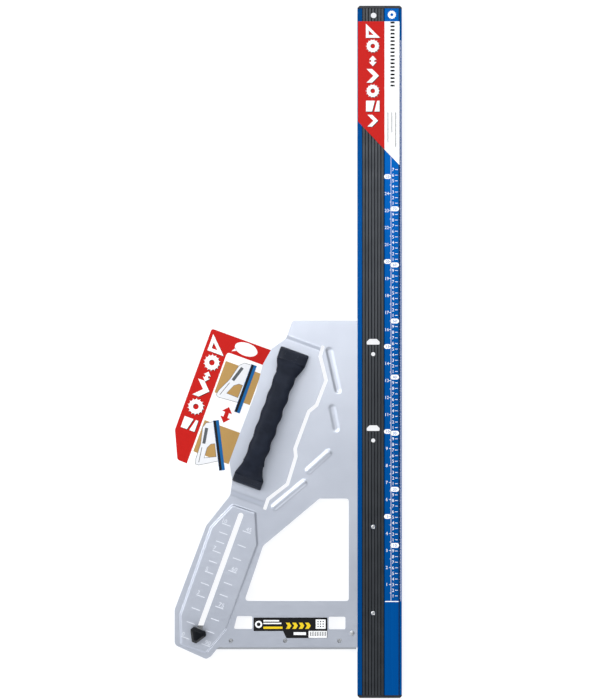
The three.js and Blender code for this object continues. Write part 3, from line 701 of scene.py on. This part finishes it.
def handle_loft(name, stations, exponent, shrink, waves, material):
    """A closed loft of rounded sections square to the handle's axis."""
    sides = 56
    made = bmesh.new()
    rings = []
    for v, inset in zip(stations, shrink):
        under, top = measure(HANDLE_UNDER, v), measure(HANDLE_TOP, v)
        left, right = measure(HANDLE_LEFT, v), measure(HANDLE_RIGHT, v)
        if waves and abs(v) < SWELLS_REACH:
            ripple = 0.5 + 0.5 * math.cos(2 * math.pi * (v - FIRST_SWELL) / FINGER_PITCH)
            right += 2.3 * ripple - 1.3
            left += 1.5 * ripple - 0.9
            under -= 1.4 * ripple
        ring = []
        for i in range(sides):
            turn = 2 * math.pi * (i + 0.5) / sides
            c, s = math.cos(turn), math.sin(turn)
            x = math.copysign(abs(c) ** (2 / exponent), c)
            y = math.copysign(abs(s) ** (2 / exponent), s)
            u = (right - inset) * x if x > 0 else (left - inset) * x
            z = (top + under) / 2 + ((top - under) / 2 - inset) * y
            point = on_handle(u, v)
            ring.append(made.verts.new(at(point[0], point[1], PANEL_TOP + HANDLE_GAP + z)))
        rings.append(ring)
    for lower, upper in zip(rings, rings[1:]):
        for i in range(sides):
            j = (i + 1) % sides
            made.faces.new((lower[i], upper[i], upper[j], lower[j]))
    made.faces.new(rings[0])
    made.faces.new(list(reversed(rings[-1])))
    bmesh.ops.recalc_face_normals(made, faces=made.faces[:])
    mesh = bpy.data.meshes.new(name)
    made.to_mesh(mesh)
    made.free()
    obj = add_object(name, mesh, material, "frame")
    return shade_by_angle(obj, 50)


def handle():
    """The soft grip with its finger swells, and a hard foot at each end."""
    grip_v = np.concatenate([[-110.6, -110.0, -108.5], np.linspace(-106, 102, 130), [104, 105.4, 106.0]])
    shrink = np.zeros(len(grip_v))
    shrink[[0, -1]] = 0.25
    grip = handle_loft("grip", grip_v, 3.4, shrink, True, GRIP_SOFT)
    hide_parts("handle_grip")
    for name, low, high in (("foot_upper", 106.1, 127.4), ("foot_lower", -127.4, -110.7)):
        stations = [low, low + 0.4, low + 1.2, low + 2.2, *np.linspace(low + 3.4, high - 3.4, 8), high - 2.2,
                    high - 1.2, high - 0.4, high]
        rim = [2.2, 1.2, 0.4, 0.05]
        inset = np.array([*rim, *np.zeros(8), *reversed(rim)])
        # the end that meets the grip keeps almost its full section
        meeting = slice(0, 4) if low > 0 else slice(-4, None)
        inset[meeting] *= 0.1
        foot = handle_loft(name, stations, 6.0, inset, False, FOOT_NAVY)
        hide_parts(f"handle_{name}")


# ---------- clamp knob ----------

KNOB_FLAT = 11.2  # from the bolt to the sides between lobes
KNOB_BLUNT = 15.3  # and to the lobes' cut-off ends
KNOB_TURN = math.radians(7)
KNOB_ROUNDING = 18  # a higher power gives sharper corners
KNOB_LAYERS = [  # height, distance of the sides, and how far the section has turned from round to three-lobed
    (0.0, 8.4, 0.0), (0.6, 8.8, 0.0), (4.2, 9.2, 0.0), (5.0, 10.4, 0.7), (5.8, 11.1, 1.0), (13.4, 11.2, 1.0),
    (14.0, 10.8, 1.0), (19.4, 7.8, 0.95), (20.4, 6.9, 0.9), (20.8, 5.4, 0.8), (21.0, 2.6, 0.4),
]


def knob_reach(turn):
    """Distance from the bolt to the knob's outline, in a direction."""
    from_lobe = abs((turn - KNOB_TURN + math.pi / 3) % (2 * math.pi / 3) - math.pi / 3)
    side = KNOB_FLAT / math.cos(math.pi / 3 - from_lobe)
    end = KNOB_BLUNT / math.cos(from_lobe)
    return (side ** -KNOB_ROUNDING + end ** -KNOB_ROUNDING) ** (-1 / KNOB_ROUNDING)


def clamp_knob():
    """Wing knob on a round foot, its faces sloping in to a small flat top."""
    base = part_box("clamp_knob")[0][2] / MM
    sides = 96
    made = bmesh.new()
    rings = []
    for height, size, share in KNOB_LAYERS:
        ring = []
        for i in range(sides):
            turn = 2 * math.pi * i / sides
            radius = size * (1 + share * (knob_reach(turn) / KNOB_FLAT - 1))
            x, y = CLAMP[0] + radius * math.cos(turn), CLAMP[1] + radius * math.sin(turn)
            ring.append(made.verts.new(at(x, y, base + height)))
        rings.append(ring)
    for lower, upper in zip(rings, rings[1:]):
        for i in range(sides):
            j = (i + 1) % sides
            made.faces.new((lower[i], lower[j], upper[j], upper[i]))
    made.faces.new(list(reversed(rings[0])))
    made.faces.new(rings[-1])
    mesh = bpy.data.meshes.new("wing_knob")
    made.to_mesh(mesh)
    made.free()
    knob = add_object("wing_knob", mesh, KNOB_BLACK, "knob")
    shade_by_angle(knob, 22)
    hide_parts("clamp_knob")


# ---------- screws ----------


RECESS_HALF_WIDTH = 0.5
RECESS_REACH = 2.1
RECESS_DEPTH = 1.1
RECESS_SLOPE = 0.5


def cross_recess(x, y):
    """Depth of a cross recess at a point of the head, in millimetres."""
    across = max(abs(x) - RECESS_HALF_WIDTH, abs(y) - RECESS_REACH)
    along = max(abs(y) - RECESS_HALF_WIDTH, abs(x) - RECESS_REACH)
    return RECESS_DEPTH * float(smooth_step(0.5 - min(across, along) / RECESS_SLOPE))


def pan_head_screw(node, body, shaft, head):
    """A pan-head screw with a cross recess, as wide and as long as the CAD node it stands for."""
    low, high = (np.array(corner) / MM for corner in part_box(node))
    origin = np.array(ORIGIN) / MM
    low, high = low - origin, high - origin
    centre = (low[:2] + high[:2]) / 2
    radius = (high[0] - low[0]) / 2
    sides = 64
    made = bmesh.new()
    rings = [[made.verts.new(at(*centre, high[2] - cross_recess(0, 0)))]]
    for share in np.linspace(0.06, 1.0, 20):
        reach = radius * share
        dome = head * 0.75 * (1 - math.sqrt(max(0.0, 1 - (0.97 * share) ** 2)))
        ring = []
        for x, y in ring_points((0, 0), reach, sides):
            ring.append(made.verts.new(at(centre[0] + x, centre[1] + y, high[2] - dome - cross_recess(x, y))))
        rings.append(ring)
    for reach, z in ((radius, high[2] - head), (shaft, high[2] - head), (shaft, low[2])):
        rings.append([made.verts.new(at(x, y, z)) for x, y in ring_points(centre, reach, sides)])
    for i in range(sides):
        made.faces.new((rings[0][0], rings[1][i], rings[1][(i + 1) % sides]))
    for lower, upper in zip(rings[1:], rings[2:]):
        for i in range(sides):
            j = (i + 1) % sides
            made.faces.new((lower[i], upper[i], upper[j], lower[j]))
    made.faces.new(list(reversed(rings[-1])))
    bmesh.ops.recalc_face_normals(made, faces=made.faces[:])
    name = node + "_look"
    mesh = bpy.data.meshes.new(name)
    made.to_mesh(mesh)
    made.free()
    shade_by_angle(add_object(name, mesh, STEEL, body), 40)
    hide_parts(node)


# ---------- printed rules ----------


def glyph_outlines():
    """Faces of each digit at height 1, as (points, faces)."""
    shapes = {}
    for digit in "0123456789":
        curve = bpy.data.curves.new("digit", "FONT")
        curve.body = digit
        curve.resolution_u = 3
        curve.align_x = "CENTER"
        curve.align_y = "CENTER"
        holder = bpy.data.objects.new("digit", curve)
        mesh = bpy.data.meshes.new_from_object(holder)
        points = np.array([tuple(v.co)[:2] for v in mesh.vertices])
        middle = (points.max(0) + points.min(0)) / 2
        size = points[:, 1].max() - points[:, 1].min()
        shapes[digit] = ((points - middle) / size, [tuple(f.vertices) for f in mesh.polygons])
        bpy.data.objects.remove(holder)
        bpy.data.meshes.remove(mesh)
        bpy.data.curves.remove(curve)
    return shapes


DIGITS = glyph_outlines()
DIGIT_STEP = 0.72


def numbers(name, entries, z, material):
    """Numbers on the frame, as closed thin slabs; each entry is (text, centre, height, turn in radians)."""
    made = bmesh.new()
    for text, centre, size, turn in entries:
        cosine, sine = math.cos(turn), math.sin(turn)
        for place, digit in enumerate(text):
            points, faces = DIGITS[digit]
            shift = (place - (len(text) - 1) / 2) * DIGIT_STEP
            local = (points + (shift, 0)) * size
            spot = local @ np.array(((cosine, sine), (-sine, cosine))) + centre
            low = [made.verts.new(at(*p, z + NUMBER_LIFT)) for p in spot]
            high = [made.verts.new(at(*p, z + NUMBER_LIFT + PRINT_THICK)) for p in spot]
            uses = set()
            for face in faces:
                made.faces.new([high[i] for i in face])
                made.faces.new([low[i] for i in reversed(face)])
                uses |= set(zip(face, (*face[1:], face[0])))
            for a, b in uses:
                if (b, a) not in uses:
                    made.faces.new((low[a], low[b], high[b], high[a]))
    bmesh.ops.recalc_face_normals(made, faces=made.faces[:])
    mesh = bpy.data.meshes.new(name)
    made.to_mesh(mesh)
    made.free()
    return add_object(name, mesh, material, "frame", False)


def bar(x0, x1, y0, y1):
    return [[(x0, y0), (x1, y0), (x1, y1), (x0, y1)]]


def thin_bar(ends, width):
    start, end = (np.array(p, float) for p in ends)
    side = np.array((-(end - start)[1], (end - start)[0]))
    side *= width / 2 / np.linalg.norm(side)
    return [tuple(p) for p in (start - side, end - side, end + side, start + side)]


SCALE_END = 1028
TICKS_END = 1001
SUN = 30.303  # one step of the second scale
LABEL_CUT_RIGHT = 778
# across the rail
MIDDLE_LINE = (59.2, 59.8)
CM_TICK = (66.8, 71.6)
CM_FIGURE = 63.2
CM_BADGE = (62.6, 69.6)
CM_BADGE_FIGURE = 66.1
SUN_TICK_STARTS = (56.2, 57.4)  # of a whole and of a half step
SUN_FIGURE = 52.0
SUN_BADGE = (51.2, 55.6)
SUN_BADGE_FIGURE = 53.4
# painted shade: the band across the rail where a black strip darkens the groove floor as its shadow would
GROOVE_PAINTED_SHADE = (73.5, 74.7)


def rail_rule():
    """The rule on the rail: millimetres on its edge, centimetres, and a second scale of 30.3 mm steps."""
    shapes = [bar(49, 73, -0.8, 0.8), bar(*MIDDLE_LINE, 0.8, SCALE_END)]
    figures, badges, badge_figures = [], [], []
    for cm in range(1, int(LABEL_CUT_RIGHT / 10) + 1):
        y = cm * 10.0
        if cm % 10:
            shapes.append(bar(*CM_TICK, y - 0.45, y + 0.45))
            figures.append((str(cm % 10), (CM_FIGURE, y), 5.6, 0))
        else:
            badges.append([capsule((CM_BADGE[0], y), (CM_BADGE[1], y), 8.6)])
            badge_figures.append((str(cm), (CM_BADGE_FIGURE, y), 5.0, 0))
    for half in range(1, int(LABEL_CUT_RIGHT / SUN * 2)):
        y = half * SUN / 2
        shapes.append(bar(SUN_TICK_STARTS[half % 2], MIDDLE_LINE[0], y - 0.4, y + 0.4))
        if half % 2 == 0 and half % 10:
            figures.append((str(half // 2), (SUN_FIGURE, y), 5.4, 0))
        elif half % 10 == 0:
            badges.append([capsule((SUN_BADGE[0], y), (SUN_BADGE[1], y), 8.2)])
            badge_figures.append((str(half // 2), (SUN_BADGE_FIGURE, y), 4.6, 0))
    printed("rule_lines", shapes, SCALE_FACE, WHITE_INK)
    numbers("rule_numbers", figures, SCALE_FACE, WHITE_INK)
    printed("rule_badges", badges, SCALE_FACE, WHITE_INK)
    # painted shade: a thin black slab on the groove floor stands in for the shadow inside the groove
    printed("groove_painted_shade", [bar(*GROOVE_PAINTED_SHADE, RAIL_NEAR + 5, RAIL_FAR - 5)], GROOVE_FLOOR, BLACK_INK, thick=0.15)
    numbers("rule_badge_numbers", badge_figures, SCALE_FACE + 0.05, BLUE_INK)


RIM_INNER, RIM_INNER_Z = 75.2, 25.0
RIM_OUTER, RIM_OUTER_Z = 78.4, 24.2
RIM_TICK_END = 78.2


def edge_ticks():
    """Millimetre ticks on the sloped rim, laid on its surface."""
    made = bmesh.new()
    slope = (RIM_OUTER_Z - RIM_INNER_Z) / (RIM_OUTER - RIM_INNER)
    for mm in range(1, TICKS_END):
        long = mm % 5 == 0
        x0 = 75.5 if long else 76.0
        half = 0.17 if long else 0.12
        corners = bar(x0, RIM_TICK_END, mm - half, mm + half)[0]
        ground = [RIM_INNER_Z + slope * (x - RIM_INNER) for x, _ in corners]
        bottom = [made.verts.new(at(x, y, z + 0.02)) for (x, y), z in zip(corners, ground)]
        top = [made.verts.new(at(x, y, z + 0.07)) for (x, y), z in zip(corners, ground)]
        made.faces.new(top)
        made.faces.new(list(reversed(bottom)))
        for i in range(4):
            j = (i + 1) % 4
            made.faces.new((bottom[i], bottom[j], top[j], top[i]))
    mesh = bpy.data.meshes.new("edge_ticks")
    made.to_mesh(mesh)
    made.free()
    add_object("edge_ticks", mesh, WHITE_INK, "frame", False)


SCALE_OFFSET = 15.0  # both scales are read this far below the clamp's centre
TICK_WIDTH = 1.4


def slot_travel(degrees):
    """How far the clamp moves up the slot when the fence swings by an angle."""
    turn = math.radians(degrees)
    return (PIVOT[0] - CLAMP[0]) * math.sin(turn) / math.cos(turn - LEAN)


def angle_scale():
    """Marks beside the slot: rail angles in degrees on its right, roof slopes of 0 to 10 on its left."""
    shapes, figures = [], []
    for degrees in range(0, 50, 5):
        y = slot_travel(degrees) - SCALE_OFFSET
        shapes.append([thin_bar([on_slot(12.5, y), on_slot(28, y)], TICK_WIDTH)])
        if degrees % 15 == 0:
            figures.append((str(90 - degrees), tuple(on_slot(22.5, y + 5.4)), 7.4, -LEAN))
    for slope in range(0, 11):
        y = slot_travel(math.degrees(math.atan(slope / 10))) - SCALE_OFFSET
        shapes.append([thin_bar([on_slot(-26, y), on_slot(-10.5, y)], TICK_WIDTH)])
        if slope in (0, 3, 5, 7, 10):
            figures.append((str(slope), tuple(on_slot(-24, y + 5.4)), 7.0, -LEAN))
    printed("angle_marks", shapes, SLOT_PLATE_TOP, ETCHED)
    numbers("angle_numbers", figures, SLOT_PLATE_TOP, ETCHED)


# ---------- labels and card ----------


def moved(loop, centre, turn=0.0, size=1.0):
    """A loop drawn about the origin, turned, scaled and set down at a centre."""
    cosine, sine = math.cos(turn) * size, math.sin(turn) * size
    return [(centre[0] + x * cosine - y * sine, centre[1] + x * sine + y * cosine) for x, y in loop]


def double_arrow(centre, length, width, turn):
    """An outline of an arrow with a head at both ends."""
    half, neck = length / 2, length / 2 - width * 1.1
    shaft = width * 0.4
    shape = [(-half, 0), (-neck, -width), (-neck, -shaft), (neck, -shaft), (neck, -width), (half, 0),
             (neck, width), (neck, shaft), (-neck, shaft), (-neck, width)]
    return moved(shape, centre, turn)


def square_sign():
    """A set square: a right-angled triangle with its window."""
    return [[[(-10, -10), (10.5, -10), (-10, 10.5)], [(-6, -6), (1.2, -6), (-6, 1.2)]]]


def disc_sign():
    """A toothed disc with its bore: a saw blade."""
    teeth = 14
    outer = []
    for i in range(teeth):
        for radius, share in ((10.5, 0.0), (8.6, 0.25), (8.6, 0.95)):
            turn = 2 * math.pi * (i + share) / teeth
            outer.append((radius * math.cos(turn), radius * math.sin(turn)))
    return [[outer, ring_points((0, 0), 3.4, 18)]]


def chevron_sign():
    """A chevron."""
    return [[[(-9, -10), (-1, -10), (9, 0), (-1, 10), (-9, 10), (1, 0)]]]


def plank_sign():
    """A board with a slanted cut across it."""
    return [[[(-10, -8), (-1, -8), (3, 8), (-10, 8)]], [[(2.5, -8), (10, -8), (10, 8), (6.5, 8)]]]


def signs(entries):
    """Solid and shadow shapes of a column of signs; each entry is (sign, centre, turn, size)."""
    solid, shadow = [], []
    for sign, centre, turn, size in entries:
        for loops in sign:
            solid.append([moved(loop, centre, turn, size) for loop in loops])
            shadow.append([moved(loop, (centre[0] + 0.9, centre[1] - 1.1), turn, size) for loop in loops])
    return solid, shadow


def rail_label():
    """Printed film: plain signs on a red field, and a white field with rows of plain bars."""
    z = z_top("rail_label")
    field = [(48, 1034), (48, 805.5), (74.6, LABEL_CUT_RIGHT), (74.6, 1034)]
    printed("film_white", [[field]], z, WHITE_INK)
    arrow = [[double_arrow((0, 0), 17, 6.2, math.pi / 2)]]
    solid, shadow = signs([
        (square_sign(), (27, 1017), 0, 1.22), (disc_sign(), (27, 990), 0, 1.24), (arrow, (27, 963.5), 0, 1.1),
        (chevron_sign(), (27, 937), 0, 1.22), (disc_sign(), (27, 910), 0, 1.24),
        (plank_sign(), (27, 883), 0, 1.2), (chevron_sign(), (27, 857), 0, 1.05),
    ])
    printed("film_sign_shadows", shadow, z, BLACK_INK)
    printed("film_signs", solid, z + 0.06, WHITE_INK)
    bars = [bar(58.5, 66, y, y + 3.2) for y in np.arange(918, 1031, 6.6)]
    bars += [bar(x, x + 1.1, y, y + length) for x, y, length in
             ((53.5, 818, 54), (60.5, 836, 36), (67.5, 810, 62))]
    printed("film_bars", bars, z, BLACK_INK)
    disc, _ = signs([(disc_sign(), (61, 1046), 0, 0.8)])
    printed("corner_disc", disc, SCALE_FACE, WHITE_INK)


CHEVRON = [(0, -5.5), (6.5, -5.5), (10, 0), (6.5, 5.5), (0, 5.5), (3.5, 0)]
CHEVRON_PLACES = [(x, -44) for x in (-128, -116.5, -105, -93.5)]
RING_CENTRE = (-176.5, -41.5)
DOT = 2.2


def plate_label():
    """Black film with plain figures: yellow chevrons, a ring, a square with nine dots, and a barred block."""
    z = z_top("plate_label")
    chevrons = [[moved(CHEVRON, place)] for place in CHEVRON_PLACES]
    printed("film_yellow", chevrons + [bar(-168, -134, -49.5, -45.5)], z, YELLOW_INK)
    ring = [ring_points(RING_CENTRE, 6.4, 32), ring_points(RING_CENTRE, 3.4, 24)]
    dots = [[(x, y), (x, y + DOT), (x + DOT, y + DOT), (x + DOT, y)]
            for x in (-71.6, -67.0, -62.4) for y in (-46.4, -42, -37.6)]
    dotted_square = [*bar(-74.6, -57, -49.4, -32.8), *dots]
    white = [bar(-168, -140, -36.5, -33.8), bar(-168, -136, -41, -38.6), bar(-114, -92, -60.5, -55.5),
             ring, dotted_square, bar(-87.3, -54.6, -65.6, -53.2)]
    printed("film_figures", white, z, WHITE_INK)
    block = [bar(x, x + 1.2, -62.5, -54.6) for x in np.arange(-84.5, -57, 3.0)]
    printed("film_block_bars", block, z + 0.06, BLACK_INK)


# the card is laid out across and along the handle, as the handle is
CARD_BAND = [
    (-153.5, 114, 5), (-30, 114), (-30, 84), (-113, 84, 6), (-113, -127.5), (-131, -127, 6), (-153.5, -78, 6),
]
CARD_SIGNS_U = -132.5
BOARD_SIZE = (67, 59.5)
BOARDS = [(-76.5, 38.5), (-76, -73.5)]
GUIDES = [((-60, 33.5), 0), ((-70, -77.5), 27)]  # middle of each drawn guide's rail, and its turn in degrees
GUIDE_PLATE = [
    (-18, 42.5), (-2, 43.5), (-3, -27.5), (-40, -30.5), (-46, -28), (-44, -18.5), (-32, 7), (-25, 35.5),
]
GUIDE_GAP = [(-14, 4), (-7, 4), (-7.5, -19.5), (-29, -19), (-21.5, -1.5)]
GUIDE_HANDLE = [(-18, 33.5), (-26.5, 6.5)]
GUIDE_SLOT = [(-30.5, 0.5), (-39.5, -25.5)]
GUIDE_RAIL = [(0, 45), (0, -45)]
GUIDE_STRIP = [(-2.3, 44.5), (-2.3, -44.5)]


def on_card(points):
    return [tuple(on_handle(*point)) for point in points]


def drawn_guides(*loops):
    """Loops of the drawn guide, set down once for each picture."""
    return [[on_card(moved(loop, middle, math.radians(turn))) for loop in loops] for middle, turn in GUIDES]


def display_card():
    """Red band with plain signs round a white field that shows the guide on a board, square and turned."""
    z = CARD_TOP
    printed("card_red", [[on_card(rounded(CARD_BAND))]], z, RED_INK)
    arrow = [[double_arrow((0, 0), 17, 6.0, math.pi / 2)]]
    column = [(square_sign(), 90, 1.5), (disc_sign(), 57, 1.5), (arrow, 30.5, 1.1), (chevron_sign(), 7, 1.5),
              (disc_sign(), -26.5, 1.5), (plank_sign(), -59.5, 1.3)]
    solid, shadow = signs([(kind, on_handle(CARD_SIGNS_U, v), -LEAN, size) for kind, v, size in column])
    turns = np.linspace(0, 2 * math.pi, 41)[:-1]
    bubble = [(-83 + 21 * math.cos(turn), 100 + 11.5 * math.sin(turn)) for turn in turns]
    tail = [(-101.5, 96.5), (-106.5, 88), (-98, 92)]
    printed("card_shadows", shadow, z + 0.06, BLACK_INK)
    printed("card_signs", [*solid, [on_card(bubble)], [on_card(tail)]], z + 0.12, CARD_WHITE)
    width, height = BOARD_SIZE
    boards = [bar(u - width / 2, u + width / 2, v - height / 2, v + height / 2)[0] for u, v in BOARDS]
    printed("card_boards", [[on_card(board)] for board in boards], z + 0.06, TAN_INK)
    printed("card_plates", drawn_guides(GUIDE_PLATE, GUIDE_GAP), z + 0.12, PALE_INK)
    edges = []
    for loop in (GUIDE_PLATE, GUIDE_GAP):
        edges += [thin_bar(ends, 0.7) for ends in zip(loop, [*loop[1:], loop[0]])]
    outlines = [shape for edge in edges for shape in drawn_guides(edge)]
    printed("card_outlines", outlines, z + 0.18, GREY_INK)
    for name, ends, wide, lift, ink in (
        ("card_handles", GUIDE_HANDLE, 5.5, 0.24, GREY_INK), ("card_slots", GUIDE_SLOT, 0.9, 0.24, BLACK_INK),
        ("card_rails", GUIDE_RAIL, 10.2, 0.24, SKY_INK), ("card_strips", GUIDE_STRIP, 4.4, 0.30, BLACK_INK),
    ):
        printed(name, drawn_guides(thin_bar(ends, wide)), z + lift, ink)
    printed("card_arrow", [[on_card(double_arrow((-76.5, -22), 30, 9.5, math.pi / 2))]], z + 0.06, RED_INK)


# ---------- making ----------

camera()
floor()
lighting()
dress_cad()
base_plate()
handle()
clamp_knob()
for number in (1, 2):
    pan_head_screw(f"rail_screw_{number}", "frame", 2.0, 2.0)
for number in (1, 2, 3):
    pan_head_screw(f"fence_screw_{number}", "fence", 1.9, 1.8)
rail_rule()
edge_ticks()
angle_scale()
rail_label()
plate_label()
display_card()
